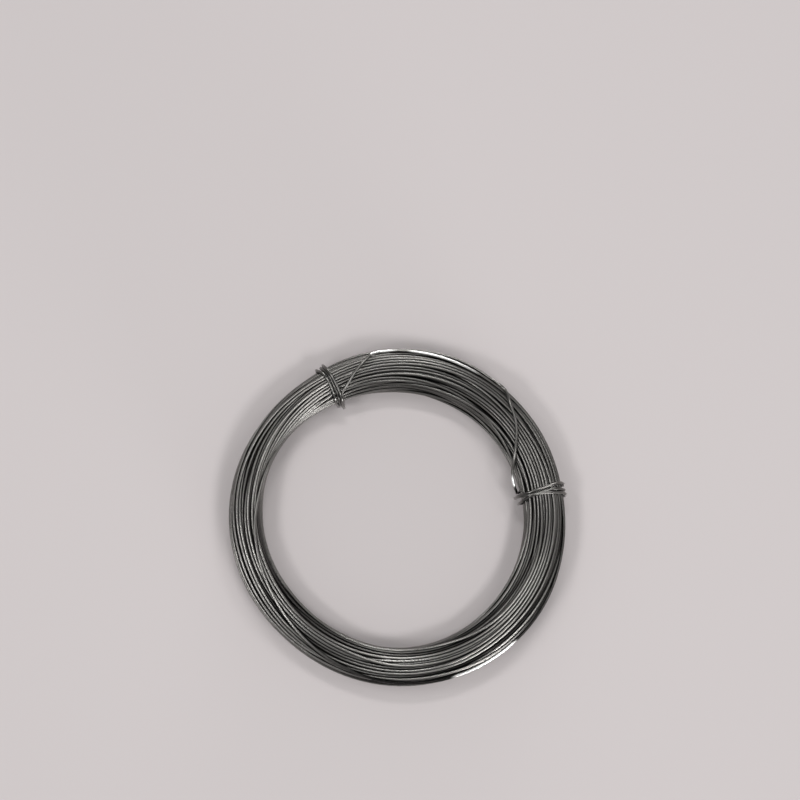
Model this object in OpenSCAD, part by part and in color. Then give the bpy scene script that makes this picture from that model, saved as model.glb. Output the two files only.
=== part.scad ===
// A hand-sized coil of galvanized binding wire. One length of wire is wound into a ring of
// turns, and its two ends are led over the turns and wrapped round them to tie the coil.
// The coil lies flat: +Z is the axis of the bore, and z = 0 is the floor under the ties.

/* [Wire] */
// Diameter of the wire
wire_d = 0.9; // [0.6:0.05:1.4]

/* [Turns] */
// Outside diameter of the ring of turns
ring_d = 106; // [98:1:130]
// Diameter of the bore inside the turns
bore_d = 80.6; // [70:0.2:86]
// Height of the bundle of turns
bundle_h = 14; // [10:0.5:18]
// How far the deepest outside turns sink between their neighbours, as a share of wire_d
nestle = 0.25; // [0:0.05:0.3]

/* [Ties] */
// Clearance between a tie and the turns that it holds
seat_gap = 0.08; // [0.05:0.01:0.2]
// Least clearance between one pass of a tie and the next
pass_gap = 0.12; // [0.05:0.01:0.4]
// How far the cut ends stand off the turns
stub_rise = 1.6; // [1.1:0.1:3]
// Place round the ring of the tie that the wire's start makes
start_tie_angle = 9; // [-40:1:40]
// Place round the ring of the tie that the wire's finish makes
finish_tie_angle = 117; // [100:1:180]

/* [Hidden] */

// The bundle's section is an oval between the bore and the outside of the ring.
half_w = (ring_d - bore_d) / 4;
half_h = bundle_h / 2;
mid_r = (ring_d + bore_d) / 4;
mid_z = wire_d + seat_gap + half_h;

// A point of the oval at an angle: 0 is outside, 90 on top, 180 in the bore, 270 below.
// out moves it off the oval.
function oval(angle, out) =
    [mid_r + (half_w + out) * cos(angle), mid_z + (half_h + out) * sin(angle)];

// The outside turns lie side by side on the oval. Each touches the next a little below its
// widest place, and their count fits one turn at the top, bottom, bore and outside.
turn_pitch = 0.95 * wire_d;
arc_steps = 180;
lengths = [for (
    i = 0, sum = 0;
    i <= arc_steps;
    i = i + 1,
    sum = sum + norm(oval(360 * i / arc_steps, -wire_d / 2)
                     - oval(360 * (i - 1) / arc_steps, -wire_d / 2))
) [sum, 360 * i / arc_steps]];
oval_l = lengths[arc_steps][0];
outside_turns = 4 * ceil(oval_l / turn_pitch / 4);
sink_waves = 4 * round(outside_turns / 11);
function turn_angle(i) = lookup(i * oval_l / outside_turns, lengths);
function turn_sink(i) =
    nestle * wire_d * (1 - cos(360 * sink_waves * i / outside_turns)) / 2;
function turn_centre(i) = oval(turn_angle(i), -wire_d / 2 - turn_sink(i));

module wire_turns() {
    centres = [for (i = [0 : outside_turns - 1]) turn_centre(i)];
    color("#77797b")
    rotate_extrude($fn = 180)
    union() {
        polygon(centres);
        for (c = centres) translate(c) circle(d = wire_d, $fn = 24);
    }
}

// A tie's route is a list of stations: [how far along the ring from the tie, the angle round
// the oval, how far off the turns]. The first and last are counted in pass pitches.
pass_pitch = wire_d + pass_gap;
lie = wire_d / 2 + seat_gap;
pass_step = 22.5;
hump_ramp = 40;
ring_sides = 8;
span_steps = 3;

function along(station) = station[0] * pass_pitch;
function round_oval(station) = station[1];
function rise(station) = max(0, station[2]) * pass_pitch;

function spot(tie_angle, station) = let (
    p = oval(round_oval(station), lie + rise(station)),
    turned = tie_angle + along(station) / p.x * 180 / PI
) [p.x * cos(turned), p.x * sin(turned), p.y];

// The passes round the bundle, from the outside of the second time round. sides says how far
// along the ring the wire lies at each half turn, outside and in the bore by turns.
function side_at(sides, half_turns) =
    lookup(half_turns, [for (i = [0 : len(sides) - 1]) [i, sides[i]]]);
function passes(sides, last, humps) = [
    for (a = [360 : pass_step : last])
        [side_at(sides, a / 180 - 2), a, max([for (h = humps) hump(a, h)])]
];

// Where it crosses a pass that is already there, the wire rides over it in a hump, which is
// one pitch high between two angles and ramps down to the turns on both sides.
function hump(a, angles) =
    let (off = max(angles[0] - a, a - angles[1], 0))
    off < hump_ramp ? (1 + cos(180 * off / hump_ramp)) / 2 : 0;

// The cut end stands off the turns on the bore side.
stub = stub_rise / pass_pitch;
function cut_end(side) = [[side, 1252, 0.7 * stub], [side, 1264, stub]];

// A smooth curve through the stations.
function between(a, b, c, d, t) =
    (2 * b + (c - a) * t + (2 * a - 5 * b + 4 * c - d) * t * t
     + (3 * b - a - 3 * c + d) * t * t * t) / 2;
function smooth(s) = let (
    n = len(s) - 1,
    e = concat([2 * s[0] - s[1]], s, [2 * s[n] - s[n - 1]])
) [
    for (i = [0 : n - 1]) for (k = [0 : span_steps - 1])
        between(e[i], e[i + 1], e[i + 2], e[i + 3], k / span_steps),
    s[n]
];

// A round wire swept along points, its section kept square to the path. towards holds the
// direction that each ring's first corner points in.
function unit(v) = v / norm(v);
function path_way(p, i) = unit(p[min(i + 1, len(p) - 1)] - p[max(i - 1, 0)]);
module swept_wire(p, towards) {
    corners = [for (i = [0 : len(p) - 1]) let (
        w = path_way(p, i),
        side = unit(cross(w, towards[i])),
        up = cross(side, w)
    ) for (k = [0 : ring_sides - 1]) let (a = 360 * k / ring_sides)
        p[i] + wire_d / 2 * (up * cos(a) + side * sin(a))];
    last = (len(p) - 1) * ring_sides;
    walls = [for (i = [0 : len(p) - 2]) for (k = [0 : ring_sides - 1]) let (
        a = i * ring_sides + k,
        b = i * ring_sides + (k + 1) % ring_sides
    ) each [[a, b, b + ring_sides], [a, b + ring_sides, a + ring_sides]]];
    ends = [
        [for (k = [ring_sides - 1 : -1 : 0]) k],
        [for (k = [0 : ring_sides - 1]) last + k]
    ];
    polyhedron(corners, concat(walls, ends));
}

module tie(tie_angle, route) {
    stations = smooth(route);
    points = [for (s = stations) spot(tie_angle, s)];
    above = [for (s = stations) spot(tie_angle, [s[0], s[1], max(0, s[2]) + 1])];
    swept_wire(points, above - points);
}

// The wire's start comes back from under the outermost turns, slants over the top, bows out
// into the bore and then goes round the bundle three times.
module start_end_tie() {
    leading = [
        [43.5, 20, 0], [38.5, 31, 0], [31, 65, 0], [24, 93, 0], [18.6, 115, 0],
        [13.4, 140, 0], [9.5, 163, 0.3], [6.3, 177, 1.4], [3.5, 188, 1.1],
        [1.8, 205, 0.1], [1.6, 228, 0], [1.65, 270, 0], [1.7, 315, 0]
    ];
    sides = [1.75, -0.9, 0.3, -1.95, -1.6, 0.15];
    color("#8a8c8e")
    tie(start_tie_angle, concat(
        leading, passes(sides, 1237.5, [[1136, 1250]]), cut_end(sides[5])
    ));
}

// The wire's finish leaves the outermost turns, slants over the top to the bore side and goes
// round the bundle, each pass a little further back than the last.
module finish_end_tie() {
    leading = [
        [-21, 26, 0], [-17.2, 38, 0], [-13.4, 60, 0], [-9.5, 86, 0], [-6, 110, 0],
        [-3.7, 134, 0], [-2.8, 156, 0], [-2, 177, 0], [-0.8, 196, 0], [0.6, 214, 0],
        [1.2, 236, 0], [1.4, 270, 0], [1.4, 315, 0]
    ];
    sides = [1.4, 0.45, 0.15, -0.6, -0.95, -1.6];
    color("#8a8c8e")
    tie(finish_tie_angle, concat(
        leading, passes(sides, 1215, [[562, 582], [906, 926]]),
        [[sides[5], 1237, 0.25 * stub]], cut_end(sides[5])
    ));
}

wire_turns();
start_end_tie();
finish_end_tie();
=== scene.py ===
import math

import bmesh
import bpy
import numpy as np
from bpy.props import FloatProperty, FloatVectorProperty, IntProperty, PointerProperty
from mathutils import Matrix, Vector


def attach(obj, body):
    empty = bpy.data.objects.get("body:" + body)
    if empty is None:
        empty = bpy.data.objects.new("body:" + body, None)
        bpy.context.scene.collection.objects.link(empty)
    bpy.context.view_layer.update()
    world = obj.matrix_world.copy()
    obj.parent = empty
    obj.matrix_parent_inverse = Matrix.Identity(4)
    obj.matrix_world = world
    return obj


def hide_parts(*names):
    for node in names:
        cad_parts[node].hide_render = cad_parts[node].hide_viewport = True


bl_info = {
    "name": "Coil of binding wire",
    "version": (1, 0, 0),
    "blender": (4, 5, 0),
    "location": "3D View > Sidebar > Wire coil",
    "description": "Winds, settles, ties and finishes a hand coil of galvanized binding wire",
    "category": "Object",
}

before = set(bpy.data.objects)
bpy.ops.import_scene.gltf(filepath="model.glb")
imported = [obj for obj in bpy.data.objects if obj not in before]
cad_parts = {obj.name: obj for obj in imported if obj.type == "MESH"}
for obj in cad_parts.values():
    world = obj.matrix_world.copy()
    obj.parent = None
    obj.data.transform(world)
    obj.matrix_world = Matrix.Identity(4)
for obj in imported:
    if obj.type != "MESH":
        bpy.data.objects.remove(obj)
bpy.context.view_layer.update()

MM = 0.001
FULL_TURN = 360


# ---------------------------------------------------------------- sizes and colours

class WireSizes(bpy.types.PropertyGroup):
    """The wire and how it is drawn as a tube"""

    diameter: FloatProperty(
        name="Wire diameter", description="Thickness of the drawn wire",
        default=0.0009, min=0.0006, max=0.0014, precision=5, subtype="DISTANCE")
    turns: IntProperty(
        name="Turns", description="How many times the wire goes round the ring",
        default=170, min=60, max=200)
    rings: IntProperty(
        name="Rings in a turn", description="How many rings of the tube make one turn",
        default=120, min=60, max=180)
    half_sides: IntProperty(
        name="Roundness", description="Extra corners of the tube's section, in pairs",
        default=2, min=1, max=4)


class BundleSizes(bpy.types.PropertyGroup):
    """The bundle that the turns lie in"""

    size: FloatProperty(
        name="Size", description="Radius of the ring, against the one that was wound",
        default=1.0, min=0.8, max=1.3, subtype="FACTOR")
    height: FloatProperty(
        name="Height", description="Height of the bundle where it is wide enough",
        default=0.0132, min=0.01, max=0.018, precision=4, subtype="DISTANCE")
    tightest: FloatProperty(
        name="Tightest packing", description="Share of a narrow section that wire fills",
        default=0.86, min=0.6, max=0.9, subtype="FACTOR")
    floor_gap: FloatProperty(
        name="Rise off the floor", description="Height of the turns over the floor, at the "
        "side that the ties don't hold up",
        default=0.0001, precision=5, subtype="DISTANCE")
    crossover: FloatProperty(
        name="Crossover", description="Place round the ring where turns step sideways",
        default=math.radians(190), subtype="ANGLE")
    wander: FloatProperty(
        name="Wander", description="How far a turn strays, as a share of the half width",
        default=0.06, min=0.0, max=0.2, subtype="FACTOR")
    sink: FloatProperty(
        name="Sink", description="How far the lowest of the outside turns lie under the rest",
        default=0.0008, min=0, max=0.0012, precision=5, subtype="DISTANCE")
    seed: IntProperty(
        name="Seed", description="Which of the possible windings is made", default=3)


class TieSizes(bpy.types.PropertyGroup):
    """The two ends of the wire, wrapped round the bundle"""

    start_angle: FloatProperty(
        name="Start tie", description="Place round the ring of the start's tie",
        default=math.radians(10), subtype="ANGLE")
    finish_angle: FloatProperty(
        name="Finish tie", description="Place round the ring of the finish's tie",
        default=math.radians(117), subtype="ANGLE")
    seat_gap: FloatProperty(
        name="Seat", description="Clearance between a tie and the turns under it",
        default=0.00004, precision=5, subtype="DISTANCE")


class ZincFinish(bpy.types.PropertyGroup):
    """The galvanized skin of the wire"""

    bright: FloatVectorProperty(
        name="Bright zinc", description="Colour where the zinc is clean",
        default=(0.43, 0.42, 0.4), size=3, subtype="COLOR")
    # Partly worn zinc, partly a painted glint: this near-white colour stands in for glints along
    # the stretches it is put on.
    burnished: FloatVectorProperty(
        name="Burnished zinc", description="Colour where the outermost turn is rubbed bright",
        default=(0.95, 0.95, 0.93), size=3, subtype="COLOR")
    dull: FloatVectorProperty(
        name="Dull zinc", description="Colour where the zinc has gone dull",
        default=(0.1, 0.096, 0.09), size=3, subtype="COLOR")
    # Painted shade: this near-black colour is mixed into the wire where other wires hem it in,
    # for the shade in the gaps between the turns.
    painted_shade: FloatVectorProperty(
        name="Hollows", description="Colour of the grime in the hollows between the turns",
        default=(0.02, 0.019, 0.018), size=3, subtype="COLOR")
    polish: FloatProperty(
        name="Roughness, bright", description="Roughness where the die has burnished it",
        default=0.25, min=0.05, max=1, subtype="FACTOR")
    satin: FloatProperty(
        name="Roughness, dull", description="Roughness where the zinc is dull",
        default=0.34, min=0.05, max=1, subtype="FACTOR")
    grain: FloatProperty(
        name="Grain", description="How far the drawn lines spread a highlight round the wire",
        default=0.7, min=0, max=1, subtype="FACTOR")


class StudioSettings(bpy.types.PropertyGroup):
    """Floor, camera and light"""

    floor_colour: FloatVectorProperty(
        name="Floor", description="Colour of the floor",
        default=(0.62, 0.575, 0.575), size=3, subtype="COLOR")
    picture_width: FloatProperty(
        name="Picture width", description="Width of floor that the camera takes in",
        default=0.2538, precision=4, subtype="DISTANCE")
    camera_height: FloatProperty(
        name="Camera height", description="Height of the camera over the floor",
        default=0.62, subtype="DISTANCE")
    sky: FloatProperty(
        name="Sky", description="Strength of the even light from all round",
        default=0.28, min=0)


# ---------------------------------------------------------------- the bundle's section

# The ring was squashed a little in handling. Each row is (degrees round the ring, radius of
# the bore's edge in mm, radius of the outer edge in mm). The rows go back to a program's
# measurements, and there are more of them than the shape needs.
EDGES = [
    (0, 39.5, 52.6), (10, 38.8, 52.1), (22, 38.0, 52.3), (40, 37.2, 52.6), (55, 37.1, 52.6),
    (70, 37.3, 52.9), (85, 37.9, 52.9), (100, 39.0, 52.9), (117, 40.6, 51.9),
    (130, 41.8, 51.7), (145, 42.7, 52.0), (160, 43.1, 52.7), (180, 42.4, 52.9),
    (200, 41.4, 52.5), (215, 40.4, 52.0), (230, 39.9, 51.7), (250, 40.2, 52.2),
    (270, 40.8, 52.9), (290, 40.6, 53.6), (310, 40.0, 54.0), (330, 39.8, 53.9),
    (345, 39.6, 53.2)]

# How far the bundle has rolled over on itself: (degrees round the ring, degrees rolled). Where
# it rises, the turns on top drift towards the bore. These rows, too, go back to a program's
# measurements.
ROLL = [
    (7.5, -17), (22.5, -27), (37.5, -34), (52.5, -35), (67.5, -30), (82.5, -24),
    (97.5, -15), (112.5, -4), (127.5, 10), (142.5, 25), (157.5, 40), (172.5, 53),
    (187.5, 68), (202.5, 75), (217.5, 75), (232.5, 73), (247.5, 71), (262.5, 64),
    (277.5, 61), (292.5, 53), (307.5, 44), (322.5, 33), (337.5, 17), (352.5, 0)]


def round_ring(rows, degrees):
    """A smooth closed curve through rows of (degrees, values...), read at degrees."""
    rows = np.asarray(rows, float)
    laps = [rows + [[lap * FULL_TURN] + [0] * (rows.shape[1] - 1)] for lap in (-1, 0, 1)]
    fine = smooth(np.vstack(laps), steps=12)
    return [np.interp(np.asarray(degrees) % FULL_TURN, fine[:, 0], fine[:, k])
            for k in range(1, rows.shape[1])]


def smooth(points, steps):
    """A Catmull-Rom curve through points, with so many steps from one to the next."""
    points = np.asarray(points, float)
    padded = np.vstack([2 * points[0] - points[1], points, 2 * points[-1] - points[-2]])
    a, b, c, d = padded[:-3], padded[1:-2], padded[2:-1], padded[3:]
    parts = [(2 * b + (c - a) * t + (2 * a - 5 * b + 4 * c - d) * t * t
              + (3 * b - a - 3 * c + d) * t ** 3) / 2 for t in np.arange(steps) / steps]
    return np.vstack([np.stack(parts, 1).reshape(-1, points.shape[1]), points[-1]])


def in_ring(degrees, r, z):
    """Points in space from their place round the ring, their radius and their height."""
    turned = np.radians(degrees)
    return np.stack([r * np.cos(turned), r * np.sin(turned), z], -1)


class Bundle:
    """The rounded section that holds the turns, at any place round the ring, in mm."""

    SQUARENESS = 2.8  # the power that rounds the section: 2 is an ellipse, more is squarer
    TIE_REACH = 5  # how far a tie's passes spread along the ring, in degrees

    def __init__(self, scene):
        wire, bundle, ties = scene.wire_sizes, scene.bundle_sizes, scene.tie_sizes
        self.wire_d = wire.diameter / MM
        self.wire_r = self.wire_d / 2
        self.stations = wire.rings
        self.turns = wire.turns
        self.size = bundle.size
        self.tightest = bundle.tightest
        self.height = bundle.height / MM
        self.floor_gap = bundle.floor_gap / MM
        self.seat_gap = ties.seat_gap / MM
        self.tied_at = math.degrees(ties.start_angle), math.degrees(ties.finish_angle)

    def section(self, degrees):
        """(middle radius, middle height) and (half width, half height) at each place."""
        bore, outside = round_ring(EDGES, degrees)
        half_w = (outside - bore) / 2 * self.size
        p = self.SQUARENESS
        area_share = 4 * math.gamma(1 + 1 / p) ** 2 / math.gamma(1 + 2 / p)
        wire_area = self.turns * math.pi * self.wire_r ** 2
        half_h = np.maximum(self.height / 2, wire_area / self.tightest / area_share / half_w)
        mid_z = self.underside(degrees) + half_h
        return (np.stack([(outside + bore) / 2 * self.size, mid_z], -1),
                np.stack([half_w, half_h], -1))

    def underside(self, degrees):
        """The coil leans a little: the ties' undermost passes hold up one side of it."""
        between = math.radians(sum(self.tied_at) / 2)
        at_tie = math.cos(math.radians(self.tied_at[0] - self.TIE_REACH) - between)
        lean = (self.wire_d + self.seat_gap - self.floor_gap) / (1 + at_tie)
        return self.floor_gap + lean * (1 + np.cos(np.radians(degrees) - between))

    def surface(self, degrees, round_section, out):
        """[r, z] at an angle round the section and out from its edge. The angle is 0 outside,
        90 on top, 180 in the bore and 270 underneath."""
        mid, half = self.section(degrees)
        turned = np.radians(round_section)
        way = np.stack([np.cos(turned), np.sin(turned)], -1)
        return mid + (half + np.asarray(out)[..., None]) * way / self.reach(way)

    def reach(self, off):
        """How far out a place is: 1 on the section's edge. off is its place as shares of the
        half width and the half height."""
        p = self.SQUARENESS
        return (np.abs(off) ** p).sum(-1, keepdims=True) ** (1 / p)


# ---------------------------------------------------------------- winding and settling

HONEYCOMBS = 60  # how many honeycombs are tried, each shifted by chance


def stacked_places(count, random):
    """Places for the turns in a round of radius 1: the tightest of several honeycombs."""
    row = math.sqrt(3) / 2
    cells = range(-20, 21)
    honeycomb = np.array([(j * row, i + 0.5 * (j % 2)) for i in cells for j in cells])
    best_reach, best = None, None
    for offset in random.random((HONEYCOMBS, 2)):
        places = honeycomb + offset
        reach = np.hypot(places[:, 0], places[:, 1])
        nearest = np.argsort(reach)[:count]
        if best is None or reach[nearest[-1]] < best_reach:
            best_reach, best = reach[nearest[-1]], places[nearest]
    return best / best_reach, row / best_reach


def winding_order(places, column_w):
    """The turns fill one column after another, from the outermost in to the bore."""
    column = np.round((places[:, 0] - places[:, 0].min()) / column_w).astype(int)
    height = np.where((column.max() - column) % 2 == 0, -places[:, 1], places[:, 1])
    return places[np.lexsort((height, -column))]


WIDENING = 1.8  # a B-spline strays less than its values do, and this makes up for it


def wandering(count, spacing, size, random):
    """Smooth chance wandering along the wire: a cubic B-spline of chance values, one every
    spacing rows."""
    chance = random.standard_normal(int(count / spacing) + 6) * size
    along = np.arange(count) / spacing + 2
    i = along.astype(int)
    t = along - i
    return WIDENING / 6 * ((1 - t) ** 3 * chance[i - 1]
                           + (3 * t ** 3 - 6 * t ** 2 + 4) * chance[i]
                           + (-3 * t ** 3 + 3 * t ** 2 + 3 * t + 1) * chance[i + 1]
                           + t ** 3 * chance[i + 2])


# The first stretch and the last time round lie at the bundle's edge. Each row is (degrees
# gone round the ring, the angle round the section, how far off its edge the wire lies in mm).
# The hold on them fades out where they go in among the other turns, over GRIP_FADE degrees.
# Most of their angles, and of those in START_END and FINISH_END, were worked out by a program.
GRIP_FADE = 30
FIRST_STRETCH = [
    (57, 27.5, 0), (62, 23, 0.05), (70, 18.5, 0), (80, 14, -0.2), (92, 8.5, -0.45)]
LAST_TURN = [
    (96, 152.5, -0.45), (120, 161.5, -0.45), (140, 164, -0.4), (155, 155, -0.3),
    (167, 143.5, -0.2), (180, 125.5, 0), (190, 117.5, 0), (200, 109.5, 0), (210, 100, 0),
    (220, 88.5, 0), (230, 77.5, 0), (240, 68.5, 0), (250, 61, 0), (260, 53, -0.05),
    (270, 47, -0.15), (285, 41.5, -0.1), (300, 40.5, -0.1), (320, 36, -0.2),
    (345, 32, -0.3), (375, 31.5, -0.35), (400, 34.5, -0.4), (413, 37, -0.45),
    (424, 38, -0.3), (436, 37.5, -0.1), (446, 35.5, -0.1), (452, 35, -0.1),
    (456, 36.5, -0.1)]

# Where the outside turns sink between each other, as a share of the sink: (degrees, share).
SINKS = [(20, 0.3), (60, 0.2), (100, 0.25), (140, 0.3), (180, 0.7), (220, 1.1), (260, 1.3),
         (300, 1.3), (330, 0.9), (355, 0.5)]

# How the turns stray in the bundle.
SECTOR = 80  # a turn steps sideways over so many degrees
SECTOR_SPREAD = 30  # about how many degrees the middle of that stretch strays
SECTOR_TURNS = 6  # over how many turns that changes
STRAYS = (2, 0.7)  # a turn strays in two waves, with so many chance values in each time round
ROLL_LAG = 9  # about how many degrees sooner or later a turn rolls over
ROLL_LAG_TURNS = 3  # over how many turns that changes
SINK_TURNS = 0.55  # over how much of a turn its depth changes
SINK_CHANCE = 0.6  # how much of the depth is chance
SINK_BY_TURNS = 0.4  # how much of it goes up and down with every other turn
SINK_CONTRAST = 1.6  # how sharply the turns are either deep or not


def degrees_gone(box, rows):
    """How far round the ring the wire has gone at each of so many rows."""
    return FIRST_STRETCH[0][0] + np.arange(rows) * FULL_TURN / box.stations


def wind(box, bundle, random):
    """Lays the turns in their places. Returns the centre line as rows of [r, z], the station
    of each row round the ring, how deep it must lie, and what tracks gives."""
    places, column_w = stacked_places(box.turns, random)
    places = winding_order(places, column_w)
    step = FULL_TURN / box.stations
    first, last = FIRST_STRETCH[0][0], LAST_TURN[-1][0] - FULL_TURN
    rows = box.turns * box.stations + round((last - first) / step) + 1
    gone = degrees_gone(box, rows)
    station = np.round(gone / step).astype(int) % box.stations
    crossover = math.degrees(bundle.crossover)
    steps_at = crossover + wandering(box.turns + 8, SECTOR_TURNS, SECTOR_SPREAD, random)
    turn = np.clip(np.floor((gone - crossover) / FULL_TURN + 0.5).astype(int), 0, box.turns)
    share = np.clip((gone - steps_at[turn] - FULL_TURN * turn) / SECTOR + 0.5, 0, 1)
    share = (share * share * (3 - 2 * share))[:, None]
    here = places[np.clip(turn, 0, box.turns - 1)]
    following = places[np.clip(turn + 1, 0, box.turns - 1)]
    lie = here * (1 - share) + following * share
    for times in STRAYS:
        spacing = box.stations / times
        lie += np.stack([wandering(rows, spacing, bundle.wander, random) for _ in "rz"], -1)
    lie /= np.maximum(np.hypot(lie[:, 0], lie[:, 1]), 1)[:, None]

    lag = wandering(rows, ROLL_LAG_TURNS * box.stations, ROLL_LAG, random)
    rolled = np.radians(round_ring(ROLL, gone - lag)[0])
    turned = np.stack([np.cos(rolled), np.sin(rolled)], -1)
    lie = np.stack([(lie * turned * [1, -1]).sum(-1), (lie * turned[:, ::-1]).sum(-1)], -1)
    lie /= np.maximum(box.reach(lie) / np.hypot(lie[:, :1], lie[:, 1:]), 1)
    mid, half = box.section(np.arange(box.stations) * step)
    line = mid[station] + (half[station] - box.wire_r) * lie

    held = tracks(box, gone)
    hold_on_track(line, held, 1)
    sunk = wandering(rows, SINK_TURNS * box.stations, SINK_CHANCE, random)
    sunk += SINK_BY_TURNS * np.cos(math.pi * (gone - crossover) / FULL_TURN)
    deepest = bundle.sink / MM * np.clip(0.5 + SINK_CONTRAST * sunk, 0, 1)
    return line, station, deepest * round_ring(SINKS, gone)[0], held


def tracks(box, gone):
    """The rows that are held to FIRST_STRETCH and LAST_TURN, the place that each is held to
    and how firmly it is held."""
    held = []
    for table, laps in ((FIRST_STRETCH, 0), (LAST_TURN, box.turns - 1)):
        track = smooth(table, steps=8)
        on_track = gone - laps * FULL_TURN
        found = np.where((on_track >= table[0][0]) & (on_track <= table[-1][0]))[0]
        angle, out = (np.interp(on_track[found], track[:, 0], track[:, k]) for k in (1, 2))
        loose_end = table[0][0] if laps else table[-1][0]
        grip = np.clip(np.abs(on_track[found] - loose_end) / GRIP_FADE, 0, 1) ** 2
        held.append((found, box.surface(gone[found], angle, out), grip[:, None]))
    return [np.concatenate(each) for each in zip(*held)]


def neighbours(rows, members, near):
    """Pairs of rows at one station that lie nearer than near."""
    filled = members >= 0
    line = rows[np.where(filled, members, 0)]
    apart = ((line[:, :, None] - line[:, None]) ** 2).sum(-1)
    close = (apart < near ** 2) & filled[:, :, None] & filled[:, None]
    close &= np.triu(np.ones(close.shape[1:], bool), 1)
    at, a, b = np.nonzero(close)
    return members[at, a], members[at, b]


def ease_bends(rows, share, times):
    """Draws each row towards the middle of its neighbours, as the wire's stiffness does."""
    for _ in range(times):
        rows[1:-1] += share * (0.5 * (rows[:-2] + rows[2:]) - rows[1:-1])


def hold_on_track(rows, held, pull):
    """Draws the held rows so much of the way to their tracks."""
    held_rows, track, grip = held
    rows[held_rows] += pull * grip * (track - rows[held_rows])


# How the turns settle.
ROUNDS = 800
SEARCH_EVERY = 15  # rounds from one search for neighbours to the next
SEARCH_REACH = 1.45  # how far it looks, in thicknesses of the wire
THIN = 0.5  # how thick the wire is at first, as a share of its real thickness
SWOLLEN_AT = 0.45  # when it has swollen to its real thickness, as a share of the rounds
PUSH = 1.6  # how strongly two crowded rows are pushed apart
PUSH_SHARE = 0.6  # how far the pushes of several neighbours are averaged
STIFF, STIFF_LATE = 0.5, 0.35  # how strongly the wire's stiffness works, early and late
LATE = 0.6  # from which share of the rounds on it eases off
WALL_PULL = 0.5  # how far a row beyond the section is drawn back in
TRACK_PULL = 0.35  # how far a held row is drawn back to its track
LAST_EASINGS = 6  # how many times the path is evened at the end


def settle(rows, station, sunk, held, box, rounds):
    """Pushes crowded turns apart, lets the wire's stiffness even its path, and keeps it all
    in the bundle's section. The wire swells to its real thickness as it goes. The held rows
    are drawn back to their track instead."""
    most = max(np.bincount(station))
    members = np.full((box.stations, most), -1)
    for s in range(box.stations):
        found = np.where(station == s)[0]
        members[s, :len(found)] = found
    mid, half = box.section(np.arange(box.stations) * FULL_TURN / box.stations)
    mid, room = mid[station], half[station] - box.wire_r - sunk[:, None]
    count = len(rows)
    for k in range(rounds):
        if k % SEARCH_EVERY == 0:
            a, b = neighbours(rows, members, SEARCH_REACH * box.wire_d)
        swollen = box.wire_d * (THIN + (1 - THIN) * min(1, k / (SWOLLEN_AT * rounds)))
        apart = rows[a] - rows[b]
        gap = np.sqrt((apart ** 2).sum(-1))
        tight = gap < swollen
        push = apart[tight] * (0.5 * (swollen / np.maximum(gap[tight], 1e-6) - 1))[:, None]
        pushed = np.stack([np.bincount(a[tight], push[:, c], count)
                           - np.bincount(b[tight], push[:, c], count) for c in (0, 1)], -1)
        touching = np.bincount(a[tight], minlength=count) + np.bincount(b[tight], minlength=count)
        rows += PUSH * pushed / np.maximum(PUSH_SHARE * touching, 1)[:, None]
        late = max(0, (k / rounds - LATE) / (1 - LATE))
        ease_bends(rows, STIFF + (STIFF_LATE - STIFF) * late, 2)
        off = (rows - mid) / room
        beyond = np.maximum(box.reach(off), 1)
        beyond[held[0]] = 1
        rows += WALL_PULL * (mid + room * off / beyond - rows)
        hold_on_track(rows, held, TRACK_PULL)
    for _ in range(LAST_EASINGS):
        ease_bends(rows, STIFF, 1)
        hold_on_track(rows, held, TRACK_PULL)
    return rows


# Stretches that are partly worn bright and partly a painted glint, in a near-white colour: of
#  the outermost turn in degrees gone in it, and of the start's and the finish's ends in mm along
#  them.
WORN_GLINTS_TURN = [(288, 315), (421, 446), (451, 460)]
WORN_GLINTS_FINISH = [(-2, 4)]
WORN_GLINTS_START = [(34, 38.5), (67, 70), (115.2, 118.2), (163.8, 166.8)]


def worn_and_glinting(along, stretches, fade):
    """1 in the stretches and 0 outside them, with a fade between."""
    return np.max([np.clip(np.minimum(along - start, stop - along) / fade, 0, 1)
                   for start, stop in stretches], 0)


LOOKS = 12  # the ways, evenly round its section, in which each wire looks out
NEAREST = 10  # how many of the wires round it can hem it in


# Painted shade: the less open a place of the wire, the more of the shade colour its colour gets.
def openness(rows, station, box):
    """How open the wire lies at each row, for each way that it looks out: 0 where the wires
    round it hem it in, and 1 where none is near. Each way takes in two more on either side
    of it, which count less."""
    ways = np.radians(np.arange(LOOKS) * FULL_TURN / LOOKS)
    ways = np.stack([np.cos(ways), np.sin(ways)], -1)
    aside = np.arange(-2, 3)
    weight = np.cos(np.radians(aside * FULL_TURN / LOOKS))
    blocked = np.zeros((len(rows), LOOKS))
    for s in range(box.stations):
        found = np.where(station == s)[0]
        here = rows[found]
        nearest = np.argsort(((here[:, None] - here) ** 2).sum(-1), 1)[:, 1:NEAREST + 1]
        spots = here[:, None] + box.wire_r * ways
        towards = here[nearest][:, None] - spots[:, :, None]
        for step, share in zip(aside, weight / weight.sum()):
            look = np.roll(ways, -step, 0)[:, None]
            ahead = (towards * look).sum(-1)
            # A wire hides a look that passes its centre within half its radius, and ever less
            # of it from there up to its whole radius.
            miss = np.abs(towards[..., 0] * look[..., 1] - towards[..., 1] * look[..., 0])
            hidden = np.where(ahead > 0, np.clip(2 - 2 * miss / box.wire_r, 0, 1), 0)
            blocked[found] += share * hidden.max(-1)
    return 1 - blocked


# ---------------------------------------------------------------- the two ends

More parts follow.
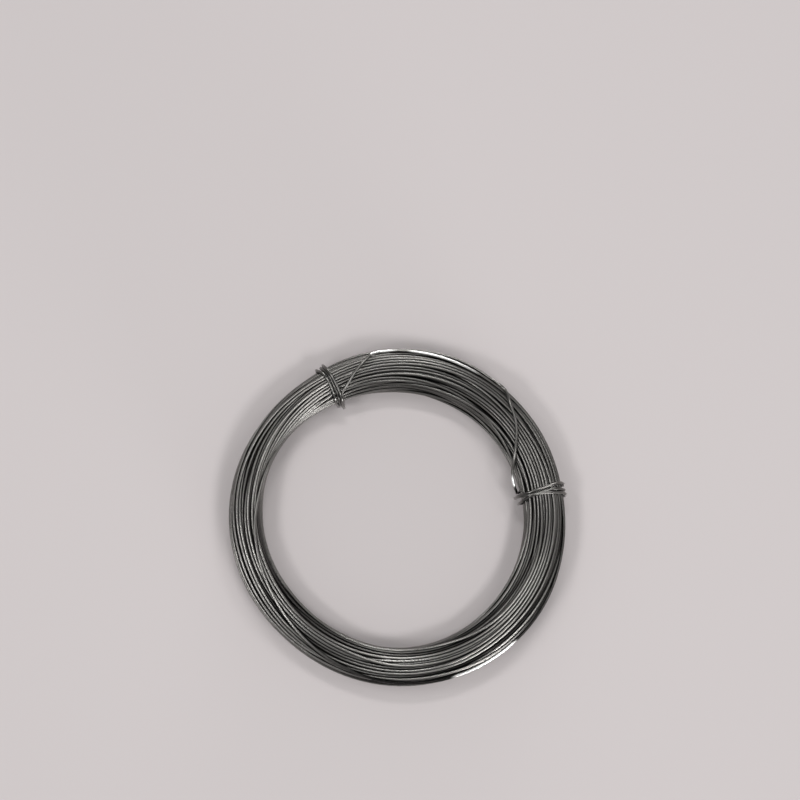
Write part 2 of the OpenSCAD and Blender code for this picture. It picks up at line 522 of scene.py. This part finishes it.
# The way of each end, from where it leaves the turns to its cut end: (degrees on from its
# tie, the angle round the section, how far off the turns in mm). The angle counts on with
# each time round.
START_END = [
    (43, 35.5, 0), (40, 38, 0), (37.5, 49, 0), (35, 58, 0), (30, 71.5, 0), (26, 85.5, 0),
    (23, 98.5, 0), (20, 110.5, 0), (16, 126, 0), (13.5, 136, 0.1), (11, 143, 0.4),
    (8.6, 148, 0.65), (6.2, 151, 0.75), (4.2, 153.5, 0.65), (2.9, 159, 0.4),
    (2.3, 170, 0.2), (2, 184, 0.05), (1.85, 198, 0), (1.8, 214, 0), (1.8, 234, 0), (1.6, 270, 0),
    (1.3, 315, 0.1), (1.2, 360, 0.4), (2.2, 395.5, 0.15), (2.3, 408.5, 0), (1.9, 434, 0),
    (1.35, 466, 0), (0.7, 488, 0), (0.4, 506, 0), (0.2, 540, 0.1), (-0.3, 630, 0),
    (-0.6, 720, 0.35), (0, 758, 0.05), (0.5, 776, 0), (0.5, 800, 0), (-0.3, 831.5, 0),
    (-1.4, 850, 0), (-2.5, 866, 0.1), (-3.4, 900, 0.4), (-3, 990, 0), (-2.2, 1080, 0.45),
    (-1.2, 1118, 0.1), (-0.8, 1136, 0), (-0.6, 1146, 0.35), (-0.4, 1160, 0.72),
    (-0.2, 1189.5, 1.02), (-0.1, 1202.5, 0.95), (0, 1211.5, 0.88), (-0.1, 1226, 0.84),
    (-0.3, 1238.5, 0.92), (-0.5, 1250, 1.02), (-0.5, 1260, 1.15)]
FINISH_END = [
    (-18, 47.5, 0), (-15, 61, 0), (-12, 75, 0), (-10, 86, 0), (-7, 103, 0), (-4, 117.5, 0),
    (-2.5, 123.5, 0), (-2, 139.5, 0), (-2, 154, 0), (-1.9, 180, 0), (-1.1, 201.5, 0),
    (0, 215.5, 0), (0.9, 228.5, 0), (1.4, 244, 0), (1.7, 270, 0), (1.9, 315, 0.1),
    (1.9, 360, 0.4), (1.6, 390, 0.2), (0.6, 405, 0), (0.2, 416, 0), (-0.2, 437.5, 0),
    (-0.1, 461.5, 0), (0.4, 483.5, 0), (1.1, 507.5, 0), (1.1, 521.5, 0), (1, 550, 0.35),
    (0.5, 570, 0.9), (-0.1, 585, 1.02), (-0.6, 598.5, 0.5), (-0.7, 616, 0), (-0.3, 675, 0),
    (0.2, 720, 0.35), (-0.4, 761.5, 0), (-1.1, 777.5, 0), (-1.4, 800, 0), (-1.35, 826, 0),
    (-1.1, 844, 0), (-0.6, 866, 0), (-0.5, 881.5, 0.3), (-0.8, 914, 0.95), (-1.4, 930, 1.02),
    (-1.9, 945, 0.5), (-2, 960, 0), (-2, 990, 0), (-1.5, 1035, 0.1), (-0.9, 1080, 0.8),
    (-1, 1106, 0.5), (-1.3, 1121.5, 0.55), (-1.8, 1137.5, 0.68), (-2.25, 1160, 0.72),
    (-2.4, 1186, 0.78), (-2.2, 1200, 0.95), (-1.9, 1211.5, 1.05), (-1.4, 1230, 1.1),
    (-1.2, 1244, 1.3), (-1.1, 1268.5, 1.6)]


SPACING = 0.45  # from one ring of an end's tube to the next, in mm
STATION_SPACING = 1.5  # from one station of an end's way to the next, in mm
START_LEAD = 40  # how far the start runs over the turns before it makes its tie, in mm
FINISH_LEAD = 22  # how far the finish does
LEAD_FADE = 4  # over how many mm, at the end of its lead, an end becomes as open as a tie
JOINT_FADE = 5  # over how many mm from its joint it takes on its own openness
# These set the painted shade of the ends: a less open side is painted darker, and the side
# towards the turns darkest.
TIED_OPEN = 0.12  # how open a tie lies where it looks neither outwards nor inwards
LEAD_OPEN = 0.75  # what the lead has more
OUTER_OPEN = 0.7  # what the outer side has more and the inner side has less
LEAST_OPEN = 0.62  # no side is less open than this


def evened(line, spacing):
    """The same line with its points evenly spaced."""
    run = np.concatenate([[0], np.cumsum(np.linalg.norm(np.diff(line, axis=0), axis=1))])
    places = np.linspace(0, run[-1], round(run[-1] / spacing) + 1)
    return np.stack([np.interp(places, run, line[:, k]) for k in range(3)], -1)


# Painted shade: the openness given here darkens an end's colour, most on its side towards the
# turns.
def end_openness(box, line, lead, joined):
    """How open an end lies along its centre line, for each way that it looks out. It starts
    as open as the turns are where it is joined to them. After its lead in mm, where it
    makes its tie, it is less open, and least on its side towards the turns."""
    degrees = np.degrees(np.arctan2(line[:, 1], line[:, 0]))
    off = np.stack([np.hypot(line[:, 0], line[:, 1]), line[:, 2]], -1) - box.section(degrees)[0]
    off /= np.linalg.norm(off, axis=1, keepdims=True)
    ways = np.radians(np.arange(LOOKS) * FULL_TURN / LOOKS)
    outwards = off @ np.stack([np.cos(ways), np.sin(ways)])
    leading = np.clip((lead - np.arange(len(line)) * SPACING) / LEAD_FADE, 0, 1)[:, None]
    own = np.clip(TIED_OPEN + LEAD_OPEN * leading + OUTER_OPEN * outwards, LEAST_OPEN, 1)
    away = np.clip(np.arange(len(line)) * SPACING / JOINT_FADE, 0, 1)[:, None]
    return joined + away * (own - joined)


def end_line(box, tied_at, turns_end, table):
    """The centre line of one end in mm. It carries on from the last two points of the turns."""
    onward, angle, off = smooth(table, steps=24).T
    degrees = tied_at + onward
    way = box.surface(degrees, angle, box.wire_r + box.seat_gap + np.maximum(0, off))
    stations = evened(in_ring(degrees, way[:, 0], way[:, 1]), STATION_SPACING)
    steps = 6
    line = smooth(np.vstack([turns_end, stations]), steps)
    return evened(line[steps:], SPACING)


# ---------------------------------------------------------------- meshes and material

CAP_RING = 0.03  # how close to each end of a tube its second ring lies, in mm
WELD = 0.001  # how near corners are to be one corner, as a share of the wire's thickness


def with_cap_rings(line, comes):
    """The line with one more point close to each end, so that the caps don't shade the
    tube. The first of them keeps the way that the wire comes from before the line."""
    goes = line[-1] - line[-2]
    after_first = line[0] + CAP_RING * comes / np.linalg.norm(comes)
    before_last = line[-1] - CAP_RING * goes / np.linalg.norm(goes)
    return np.vstack([line[0], after_first, line[1:-1], before_last, line[-1]])


def wire_piece(name, line, settings, opened, bright, comes=None):
    """A tube of wire along a centre line in mm. Its UV map runs along and round the wire in
    metres. Its attribute closed says how closely other wires hem it in, which sets the painted
    shade of its colour. Its other attribute says where it is worn bright and carries a painted
    glint, where no painted shade is put."""
    line = with_cap_rings(line, line[1] - line[0] if comes is None else comes) * MM
    opened, bright = (np.concatenate([rows[:1], rows, rows[-1:]]) for rows in (opened, bright))
    curve = bpy.data.curves.new(name, "CURVE")
    curve.dimensions = "3D"
    spline = curve.splines.new("POLY")
    spline.points.add(len(line) - 1)
    spline.points.foreach_set("co", np.c_[line, np.ones(len(line))].ravel())
    spline.use_smooth = True
    curve.bevel_depth = settings.diameter / 2
    curve.bevel_resolution = settings.half_sides
    curve.use_fill_caps = True
    tube = bpy.data.objects.new(name + "_line", curve)
    bpy.context.scene.collection.objects.link(tube)
    drawn = tube.evaluated_get(bpy.context.evaluated_depsgraph_get())
    mesh = bpy.data.meshes.new_from_object(drawn)
    mesh.name = name
    bpy.data.objects.remove(tube)
    bpy.data.curves.remove(curve)

    run = np.concatenate([[0], np.cumsum(np.linalg.norm(np.diff(line, axis=0), axis=1))])
    uv = np.empty(len(mesh.loops) * 2)
    mesh.uv_layers[0].data.foreach_get("uv", uv)
    uv = uv.reshape(-1, 2)
    uv[:, 0] = np.interp(uv[:, 0] * (len(line) - 1), np.arange(len(line)), run)
    uv[:, 1] *= math.pi * settings.diameter
    mesh.uv_layers[0].data.foreach_set("uv", uv.ravel())
    corners, row = corner_rows(mesh, line)
    # Painted shade: closed darkens the colour in the gaps between the turns, and is left off
    # where a painted glint lies.
    closed = (1 - open_corners(corners, row, line, opened)) * (1 - bright[row])
    mesh.attributes.new("closed", "FLOAT", "POINT").data.foreach_set("value", closed)
    mesh.attributes.new("worn_and_glinting", "FLOAT", "POINT").data.foreach_set("value", bright[row])

    shell = bmesh.new()
    shell.from_mesh(mesh)
    bmesh.ops.remove_doubles(shell, verts=shell.verts, dist=WELD * settings.diameter)
    for face in shell.faces:
        face.smooth = len(face.verts) == 4
    shell.to_mesh(mesh)
    shell.free()

    mesh.materials.clear()
    mesh.materials.append(wire_material())
    piece = bpy.data.objects.new(name, mesh)
    bpy.context.scene.collection.objects.link(piece)
    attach(piece, "root")
    return piece


def corner_rows(mesh, line):
    """The corners of a new tube, and the row of its line that each belongs to. Those of its
    caps come first."""
    corners = np.empty(len(mesh.vertices) * 3)
    mesh.vertices.foreach_get("co", corners)
    corners = corners.reshape(-1, 3)
    sides, of_caps = divmod(len(corners), len(line))
    to_ends = corners[:of_caps, None] - line[[0, -1]]
    capped = np.where((to_ends ** 2).sum(-1).argmin(1), len(line) - 1, 0)
    return corners, np.concatenate([capped, np.repeat(np.arange(len(line)), sides)])


def open_corners(corners, row, line, opened):
    """How open each corner of a tube lies, from what the wire sees at its nearest looks."""
    out = np.hypot(*corners.T[:2]) - np.hypot(*line[row].T[:2])
    up = corners[:, 2] - line[row, 2]
    look = np.degrees(np.arctan2(up, out)) % FULL_TURN * LOOKS / FULL_TURN
    before = look.astype(int)
    share = look - before
    return (opened[row, before % LOOKS] * (1 - share)
            + opened[row, (before + 1) % LOOKS] * share)


class Nodes:
    """Short ways to add and join nodes of a material."""

    def __init__(self, material):
        material.use_nodes = True
        self.tree = material.node_tree
        self.shader = self.tree.nodes["Principled BSDF"]

    def add(self, kind, inputs=(), **settings):
        node = self.tree.nodes.new("ShaderNode" + kind)
        for key, value in settings.items():
            setattr(node, key, value)
        for key, value in dict(inputs).items():
            if isinstance(value, bpy.types.NodeSocket):
                self.tree.links.new(value, node.inputs[key])
            else:
                node.inputs[key].default_value = value
        return node

    def ramp(self, value, low, high, to_low=0.0, to_high=1.0):
        return self.add("MapRange", {
            "Value": value, "From Min": low, "From Max": high,
            "To Min": to_low, "To Max": to_high}).outputs["Result"]

    def noise(self, vector, scale, detail, roughness):
        return self.add("TexNoise", {
            "Vector": vector, "Scale": scale, "Detail": detail,
            "Roughness": roughness}).outputs["Fac"]

    def stretched_noise(self, vector, scales, detail, roughness):
        mapping = self.add("Mapping", {"Vector": vector, "Scale": scales})
        return self.noise(mapping.outputs["Vector"], 1, detail, roughness)

    def math(self, operation, first, second, **settings):
        node = self.add("Math", {0: first, 1: second}, operation=operation, **settings)
        return node.outputs[0]

    def mix(self, share, first, second):
        return self.add("Mix", {0: share, "A": first, "B": second},
                        data_type="RGBA").outputs["Result"]


RELIEF = 0.000002  # depth of the drawn lines and crystals, in m


def galvanized_wire(finish):
    """Zinc over drawn steel: fine lines along the wire, clean and dull stretches, and
    small patches of crystals. It also carries painted shade in the gaps between the turns and on
    one side of the coil, and painted glints on stretches worn bright."""
    material = bpy.data.materials.new("drawn_zinc")
    nodes = Nodes(material)
    on_wire = nodes.add("UVMap", uv_map="UVMap").outputs["UV"]
    on_coil = nodes.add("TexCoord").outputs["Object"]

    # On the wire, the scales are waves in a metre, first along it and then round it.
    stretches = nodes.stretched_noise(on_wire, (22, 0, 0), 3, 0.6)
    drawn = nodes.stretched_noise(on_wire, (60, 9000, 1), 3, 0.65)
    crystals = nodes.stretched_noise(on_wire, (900, 1600, 1), 3, 0.6)
    handled = nodes.noise(on_coil, 45, 3, 0.55)
    # Painted shade: one side of the coil is made darker and rougher than the other, for how the
    # light falls on it.
    to_shaded_side = nodes.add("VectorMath", {0: on_coil, 1: (0.5, 0.87, 0)},
                       operation="DOT_PRODUCT").outputs["Value"]

    cleanness_and_shade = nodes.math("ADD", nodes.ramp(stretches, 0.32, 0.68, 0, 0.8),
                           nodes.ramp(drawn, 0.3, 0.7, 0, 0.12))
    cleanness_and_shade = nodes.math("ADD", cleanness_and_shade, nodes.ramp(crystals, 0.3, 0.7, 0, 0.14))
    cleanness_and_shade = nodes.math("MULTIPLY", cleanness_and_shade, nodes.ramp(handled, 0.35, 0.65, 0.8, 1.05))
    cleanness_and_shade = nodes.math("MULTIPLY", cleanness_and_shade, nodes.ramp(to_shaded_side, -0.03, 0.05, 1.1, 0.55),
                           use_clamp=True)
    colour = nodes.mix(cleanness_and_shade, (*finish.dull, 1), (*finish.bright, 1))

    # Partly wear, partly painted glint: the near-white colour goes on the stretches listed for
    # it.
    worn = nodes.add("Attribute", attribute_name="worn_and_glinting").outputs["Fac"]
    colour = nodes.mix(worn, colour, (*finish.burnished, 1))
    # Painted shade: the colour goes towards the near-black shade colour where other wires hem the
    # wire in.
    closed = nodes.add("Attribute", attribute_name="closed").outputs["Fac"]
    colour = nodes.mix(nodes.ramp(closed, 0.08, 0.52), colour, (*finish.painted_shade, 1))

    shader = nodes.shader
    shader.inputs["Metallic"].default_value = 1.0
    nodes.tree.links.new(colour, shader.inputs["Base Color"])
    nodes.tree.links.new(nodes.ramp(cleanness_and_shade, 0.1, 0.9, finish.satin, finish.polish),
                         shader.inputs["Roughness"])
    relief = nodes.math("ADD", nodes.ramp(drawn, 0.25, 0.75, 0, 1),
                        nodes.ramp(crystals, 0.3, 0.7, 0, 0.8))
    bump = nodes.add("Bump", {"Height": relief, "Distance": RELIEF, "Strength": 0.25})
    nodes.tree.links.new(bump.outputs["Normal"], shader.inputs["Normal"])
    shader.inputs["Anisotropic"].default_value = finish.grain
    shader.inputs["Anisotropic Rotation"].default_value = 0.25
    along = nodes.add("Tangent", direction_type="UV_MAP", uv_map="UVMap")
    nodes.tree.links.new(along.outputs["Tangent"], shader.inputs["Tangent"])
    return material


def wire_material():
    """The one material of all the wire, made when it is first asked for."""
    found = bpy.data.materials.get("drawn_zinc")
    return found or galvanized_wire(bpy.context.scene.zinc_finish)


_wound = {}


def wound_turns():
    """The settled centre line of all the turns in mm, how open it is, and where it is worn bright
    with a painted glint.
    It is worked out once."""
    if not _wound:
        scene = bpy.context.scene
        box = Bundle(scene)
        random = np.random.default_rng(scene.bundle_sizes.seed)
        rows, station, sunk, held = wind(box, scene.bundle_sizes, random)
        rows = settle(rows, station, sunk, held, box, ROUNDS)
        # Painted shade: the turns that lie deepest count as less open, so that their colour takes
        # more of the painted shade.
        deep_shade = np.clip(1.1 - 0.7 * sunk / box.wire_d, 0.5, 1)[:, None]
        degrees = station * FULL_TURN / box.stations
        _wound["line"] = in_ring(degrees, rows[:, 0], rows[:, 1])
        _wound["open"] = openness(rows, station, box) * deep_shade
        gone_in_last = degrees_gone(box, len(rows)) - (box.turns - 1) * FULL_TURN
        _wound["worn_and_glinting"] = worn_and_glinting(gone_in_last, WORN_GLINTS_TURN, fade=3)
    return _wound["line"], _wound["open"], _wound["worn_and_glinting"]


def end_piece(name, tied_at, turns, turns_open, table, lead, stretches):
    """One end of the wire, as a tube. It carries on from the last of the turns."""
    scene = bpy.context.scene
    box = Bundle(scene)
    line = end_line(box, math.degrees(tied_at), turns[-2:], table)
    bright = worn_and_glinting(np.arange(len(line)) * SPACING, stretches, fade=1)
    opened = end_openness(box, line, lead, turns_open[-1])
    return wire_piece(name, line, scene.wire_sizes, opened, bright, turns[-1] - turns[-2])


# ---------------------------------------------------------------- operators

class WIRECOIL_OT_wind(bpy.types.Operator):
    """Winds the turns and settles them into a loose bundle"""

    bl_idname = "wirecoil.wind"
    bl_label = "Wind the turns"

    def execute(self, context):
        settings = context.scene.wire_sizes
        line, opened, bright = wound_turns()
        third = len(line) // 3
        for k, name in enumerate(("first_turns", "middle_turns", "last_turns")):
            part = slice(k * third, len(line) if k == 2 else (k + 1) * third + 1)
            piece = wire_piece(name, line[part], settings, opened[part], bright[part])
            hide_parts("wire_turns")
        return {"FINISHED"}


class WIRECOIL_OT_tie_start(bpy.types.Operator):
    """Leads the wire's start over the turns and ties it round them"""

    bl_idname = "wirecoil.tie_start"
    bl_label = "Tie the start"

    def execute(self, context):
        turns, turns_open, _ = wound_turns()
        piece = end_piece("start_end", context.scene.tie_sizes.start_angle, turns[::-1],
                          turns_open[::-1], START_END, START_LEAD, WORN_GLINTS_START)
        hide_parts("start_end_tie")
        return {"FINISHED"}


class WIRECOIL_OT_tie_finish(bpy.types.Operator):
    """Leads the wire's finish over the turns and ties it round them"""

    bl_idname = "wirecoil.tie_finish"
    bl_label = "Tie the finish"

    def execute(self, context):
        turns, turns_open, _ = wound_turns()
        piece = end_piece("finish_end", context.scene.tie_sizes.finish_angle, turns,
                          turns_open, FINISH_END, FINISH_LEAD, WORN_GLINTS_FINISH)
        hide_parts("finish_end_tie")
        return {"FINISHED"}


# Five high soft boxes light the coil. Two low ones with slats make the glints along its rim.
# Each row is (name, azimuth and elevation in degrees, width and height in m, power in W, the
# angle in which it gives light in degrees).
NO_SLATS, SLATS = 180, 50
LAMPS = [
    ("high_left", 206, 60, (0.36, 0.2), 2.8, NO_SLATS),
    ("high_right", 26, 60, (0.36, 0.2), 1.2, NO_SLATS),
    ("high_front_right", 318, 60, (0.38, 0.22), 3.7, NO_SLATS),
    ("high_back", 90, 62, (0.34, 0.11), 2.3, NO_SLATS),
    ("high_back_left", 152, 62, (0.34, 0.3), 1.3, NO_SLATS),
    ("low_front_right", 302, 4, (0.55, 0.08), 0.6, SLATS),
    ("low_back", 82, 4, (0.95, 0.08), 0.75, SLATS)]
LAMP_DISTANCE = 1.2  # from the coil, in m

FLOOR_RADIUS = 1.1  # in m
FLOOR_ROUGHNESS = 0.85
CAMERA_SHIFT = (0.003, 0.1475)  # how far the picture is moved over the coil, in widths of it


def lamp(name, azimuth, elevation, size, power, spread):
    """A soft box that points at the coil."""
    azimuth, elevation = math.radians(azimuth), math.radians(elevation)
    light = bpy.data.lights.new(name, "AREA")
    light.shape = "RECTANGLE"
    light.size, light.size_y = size
    light.energy = power
    light.spread = math.radians(spread)
    place = Vector((math.cos(azimuth) * math.cos(elevation),
                    math.sin(azimuth) * math.cos(elevation), math.sin(elevation)))
    place *= LAMP_DISTANCE
    holder = bpy.data.objects.new(name, light)
    holder.location = place
    holder.rotation_euler = (-place).to_track_quat("-Z", "Y").to_euler()
    bpy.context.scene.collection.objects.link(holder)


class WIRECOIL_OT_studio(bpy.types.Operator):
    """Lays the floor and sets the camera and the lamps"""

    bl_idname = "wirecoil.studio"
    bl_label = "Set the studio"

    def execute(self, context):
        scene = context.scene
        studio = scene.studio
        camera = bpy.data.objects.new("camera", bpy.data.cameras.new("camera"))
        scene.collection.objects.link(camera)
        camera.location = (0, 0, studio.camera_height)
        camera.data.lens = camera.data.sensor_width * studio.camera_height / studio.picture_width
        camera.data.shift_x, camera.data.shift_y = CAMERA_SHIFT
        scene.camera = camera

        floor_mesh = bmesh.new()
        bmesh.ops.create_circle(floor_mesh, cap_ends=True, segments=64, radius=FLOOR_RADIUS)
        data = bpy.data.meshes.new("floor")
        floor_mesh.to_mesh(data)
        floor_mesh.free()
        floor = bpy.data.objects.new("floor", data)
        scene.collection.objects.link(floor)
        paint = bpy.data.materials.new("floor")
        nodes = Nodes(paint)
        nodes.shader.inputs["Base Color"].default_value = (*studio.floor_colour, 1)
        nodes.shader.inputs["Roughness"].default_value = FLOOR_ROUGHNESS
        data.materials.append(paint)

        sky = bpy.data.worlds.new("sky")
        sky.use_nodes = True
        background = sky.node_tree.nodes["Background"]
        background.inputs["Color"].default_value = (1, 1, 1, 1)
        background.inputs["Strength"].default_value = studio.sky
        scene.world = sky
        for row in LAMPS:
            lamp(*row)
        scene.view_settings.view_transform = "Standard"
        return {"FINISHED"}


# ---------------------------------------------------------------- panel and main

GROUPS = {
    "wire_sizes": WireSizes,
    "bundle_sizes": BundleSizes,
    "tie_sizes": TieSizes,
    "zinc_finish": ZincFinish,
    "studio": StudioSettings,
}
OPERATORS = (WIRECOIL_OT_studio, WIRECOIL_OT_wind, WIRECOIL_OT_tie_start,
             WIRECOIL_OT_tie_finish)


class WIRECOIL_PT_panel(bpy.types.Panel):
    """Sizes, colours and steps of the wire coil"""

    bl_idname = "WIRECOIL_PT_panel"
    bl_label = "Wire coil"
    bl_space_type = "VIEW_3D"
    bl_region_type = "UI"
    bl_category = "Wire coil"

    def draw(self, context):
        for group, kind in GROUPS.items():
            box = self.layout.box()
            for name in kind.__annotations__:
                box.prop(getattr(context.scene, group), name)
        for operator in OPERATORS:
            self.layout.operator(operator.bl_idname)


def register():
    for group, kind in GROUPS.items():
        bpy.utils.register_class(kind)
        setattr(bpy.types.Scene, group, PointerProperty(type=kind))
    for kind in (*OPERATORS, WIRECOIL_PT_panel):
        bpy.utils.register_class(kind)


def unregister():
    for kind in (WIRECOIL_PT_panel, *reversed(OPERATORS)):
        bpy.utils.unregister_class(kind)
    for group, kind in reversed(GROUPS.items()):
        delattr(bpy.types.Scene, group)
        bpy.utils.unregister_class(kind)


def main():
    register()
    bpy.ops.wirecoil.studio()
    bpy.ops.wirecoil.wind()
    bpy.ops.wirecoil.tie_start()
    bpy.ops.wirecoil.tie_finish()


if __name__ == "__main__":
    main()
